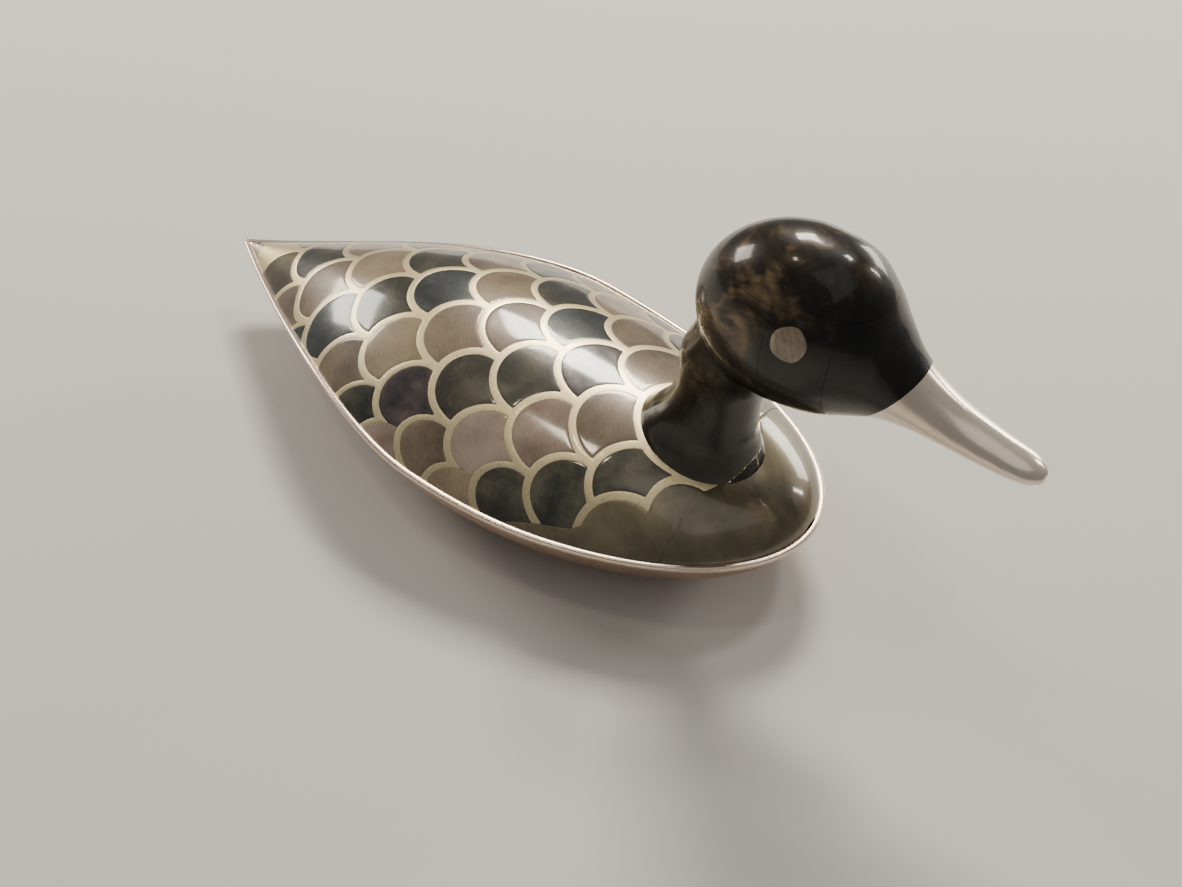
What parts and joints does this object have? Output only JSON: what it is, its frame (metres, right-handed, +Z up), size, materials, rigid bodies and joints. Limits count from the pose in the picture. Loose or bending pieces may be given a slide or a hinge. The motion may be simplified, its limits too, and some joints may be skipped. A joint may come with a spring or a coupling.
{
  "type": "inlaid brass duck decoy",
  "caption": "Hollow brass duck in decoy form, its back inlaid with scale-shaped shell tiles between brass walls, with a dark shell head, a brass bill and a flat resting base.",
  "frame": {"origin": "centre of the bounding box in plan, on the resting plane under the base pad", "axes": "+X from the tail towards the bill, +Y to the duck's left, +Z up"},
  "size_m": [0.258, 0.0974, 0.1104],
  "materials": {
    "brass": "polished brass under clear lacquer",
    "pale_brass": "pale brass cell walls, satin under lacquer",
    "pen_shell": "polished black-brown pen shell under clear lacquer",
    "tan_shell": "polished tan mother-of-pearl under clear lacquer",
    "gold_shell": "polished olive-gold mother-of-pearl under clear lacquer",
    "steel": "plain zinc-plated steel",
    "felt": "dark green felt"
  },
  "bodies": {
    "root": {"back_shell": "brass", "base_pad": "felt", "bill": "brass", "breast_front": "gold_shell", "breast_left": "gold_shell", "breast_right": "gold_shell", "cell_walls": "pale_brass", "cheek_inlay_left": "pen_shell", "cheek_inlay_right": "pen_shell", "crown_inlay": "pen_shell", "eye_left": "tan_shell", "eye_right": "tan_shell", "face_inlay_left": "pen_shell", "face_inlay_right": "pen_shell", "feathers_row_01_dark": "pen_shell", "feathers_row_02_dark": "pen_shell", "feathers_row_02_tan": "tan_shell", "feathers_row_03_dark": "pen_shell", "feathers_row_03_tan": "tan_shell", "feathers_row_04_dark": "pen_shell", "feathers_row_04_tan": "tan_shell", "feathers_row_05_dark": "pen_shell", "feathers_row_05_tan": "tan_shell", "feathers_row_06_dark": "pen_shell", "feathers_row_06_tan": "tan_shell", "feathers_row_07_dark": "pen_shell", "feathers_row_07_tan": "tan_shell", "feathers_row_08_dark": "pen_shell", "feathers_row_08_tan": "tan_shell", "feathers_row_09_dark": "pen_shell", "feathers_row_09_tan": "tan_shell", "feathers_row_10_dark": "pen_shell", "feathers_row_10_tan": "tan_shell", "feathers_row_11_dark": "pen_shell", "feathers_row_11_tan": "tan_shell", "feathers_row_12_olive": "gold_shell", "head_shell_left": "brass", "head_shell_right": "brass", "hull_shell": "brass", "nape_inlay_left": "pen_shell", "nape_inlay_right": "pen_shell", "neck_inlay_left": "pen_shell", "neck_inlay_right": "pen_shell", "neck_nut": "steel", "neck_plug": "brass", "neck_socket": "brass", "neck_stud": "steel", "neck_washer": "steel", "rim_band": "brass", "tail_point": "brass"}
  },
  "joints": []
}
